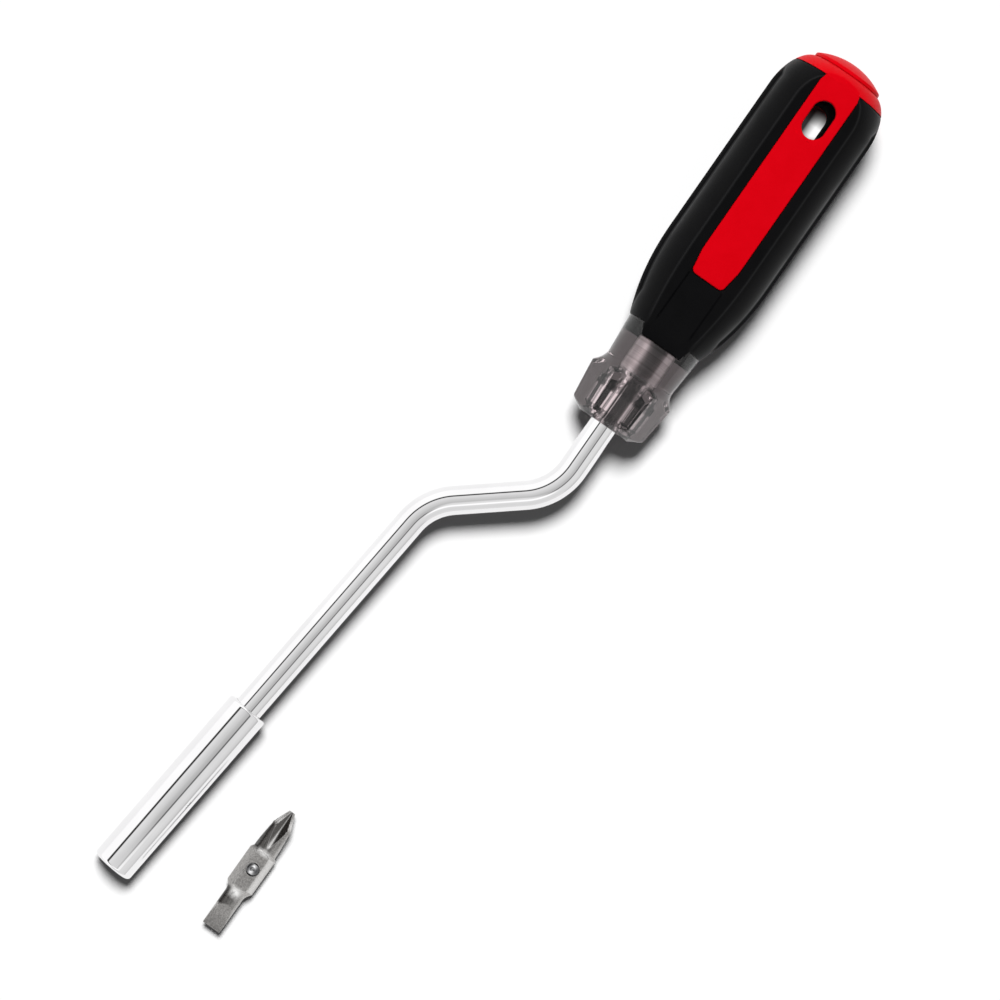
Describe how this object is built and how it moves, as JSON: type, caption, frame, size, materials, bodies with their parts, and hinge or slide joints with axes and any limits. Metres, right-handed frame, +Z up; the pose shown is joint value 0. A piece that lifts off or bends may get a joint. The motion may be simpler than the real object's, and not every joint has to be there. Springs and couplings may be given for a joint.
{
  "type": "offset multi-bit screwdriver",
  "caption": "Offset screwdriver: a Z-bent shaft joins a hex socket sleeve to a lobed soft-grip handle with a hex bolster and a lanyard slot; a loose double-ended bit lies beside it.",
  "frame": {"origin": "on the ground under the middle of the bounding box of the driver and the loose bit", "axes": "+X from the bit socket to the handle, along the line of the lower shaft seen from above; +Z up; the bend and the loose bit lie to -Y of that line"},
  "size_m": [0.2668, 0.036, 0.0258],
  "materials": {
    "bright_chrome": "bright chrome plate, mirror smooth",
    "smoked_resin": "clear resin with a grey smoke tint, polished",
    "red_plastic": "opaque red moulding, satin",
    "black_elastomer": "soft black overmould with a fine matt grain",
    "blasted_steel": "tool steel with a fine blasted surface",
    "bearing_steel": "hardened and polished"
  },
  "bodies": {
    "driver": {"shaft": "bright_chrome", "bit_socket": "bright_chrome", "bolster": "smoked_resin", "handle_core": "red_plastic", "butt_cap": "red_plastic", "cushion_grip": "black_elastomer", "slot_liner": "black_elastomer"},
    "bit": {"bit_body": "blasted_steel", "detent_spring": "bearing_steel"},
    "ball": {"detent_ball": "bearing_steel"}
  },
  "joints": [
    {"name": "bit_pick_up", "type": "slide", "parent": "driver", "child": "bit", "axis": [0, 0, 1], "range_m": [0, 0.06]},
    {"name": "detent_press", "type": "slide", "parent": "bit", "child": "ball", "axis": [0, 0, -1], "range_m": [0, 0.0005], "stiffness_N_per_m": 800, "springref_m": -0.0006, "deforming": ["detent_spring"]}
  ]
}
